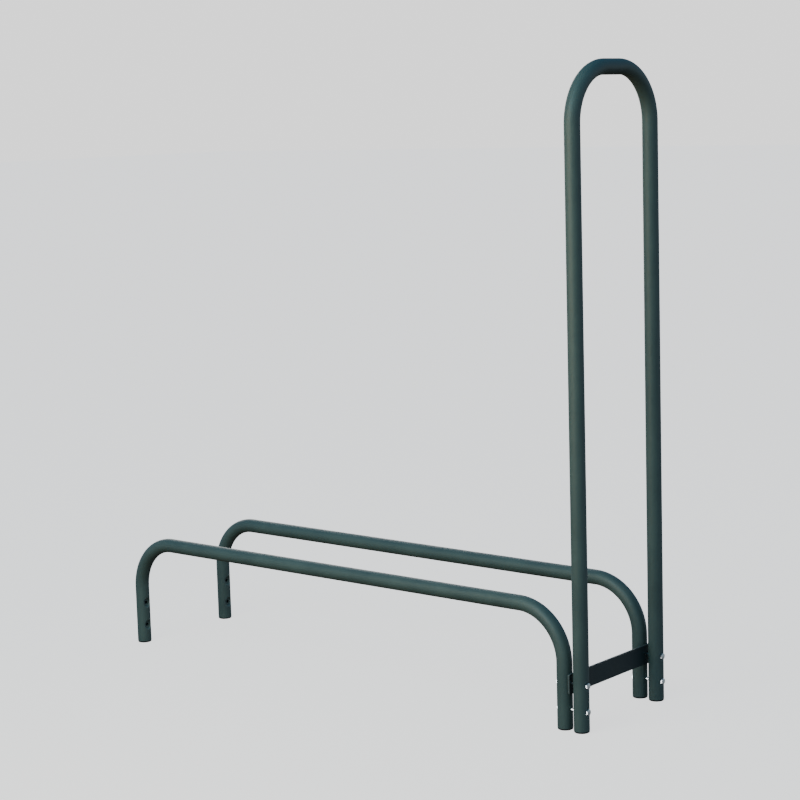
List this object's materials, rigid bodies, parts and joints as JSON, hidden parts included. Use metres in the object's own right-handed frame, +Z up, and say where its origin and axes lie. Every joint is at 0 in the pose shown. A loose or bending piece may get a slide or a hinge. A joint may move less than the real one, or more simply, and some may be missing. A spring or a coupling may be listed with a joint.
{
  "type": "firewood log rack",
  "caption": "Add-on log rack of bent steel tube: low front and rear rails, one tall U-shaped end frame, a flat cross strap and through bolts.",
  "frame": {"origin": "on the floor, at the bottom centre of the bounding box", "axes": "+X along the rails towards the upright frame, +Y from the front rail to the rear rail, +Z up"},
  "size_m": [1.2128, 0.283, 1.237],
  "materials": {
    "tube_coat": "satin dark green-grey powder coat with a fine orange peel",
    "strap_coat": "powder coat, rendered darker than the tubes to match its shaded face",
    "zinc_plate": "bright zinc plate",
    "plug_plastic": "moulded black plastic"
  },
  "bodies": {
    "root": {"front_rail": "tube_coat", "rear_rail": "tube_coat", "upright_frame": "tube_coat", "cross_strap": "strap_coat", "bolt_front_upper": "zinc_plate", "bolt_front_lower": "zinc_plate", "bolt_rear_upper": "zinc_plate", "bolt_rear_lower": "zinc_plate", "nut_front_upper": "zinc_plate", "nut_front_lower": "zinc_plate", "nut_rear_upper": "zinc_plate", "nut_rear_lower": "zinc_plate", "plug_rail_front_left": "plug_plastic", "plug_rail_rear_left": "plug_plastic", "plug_rail_front_right": "plug_plastic", "plug_rail_rear_right": "plug_plastic", "plug_upright_front": "plug_plastic", "plug_upright_rear": "plug_plastic"}
  },
  "joints": []
}
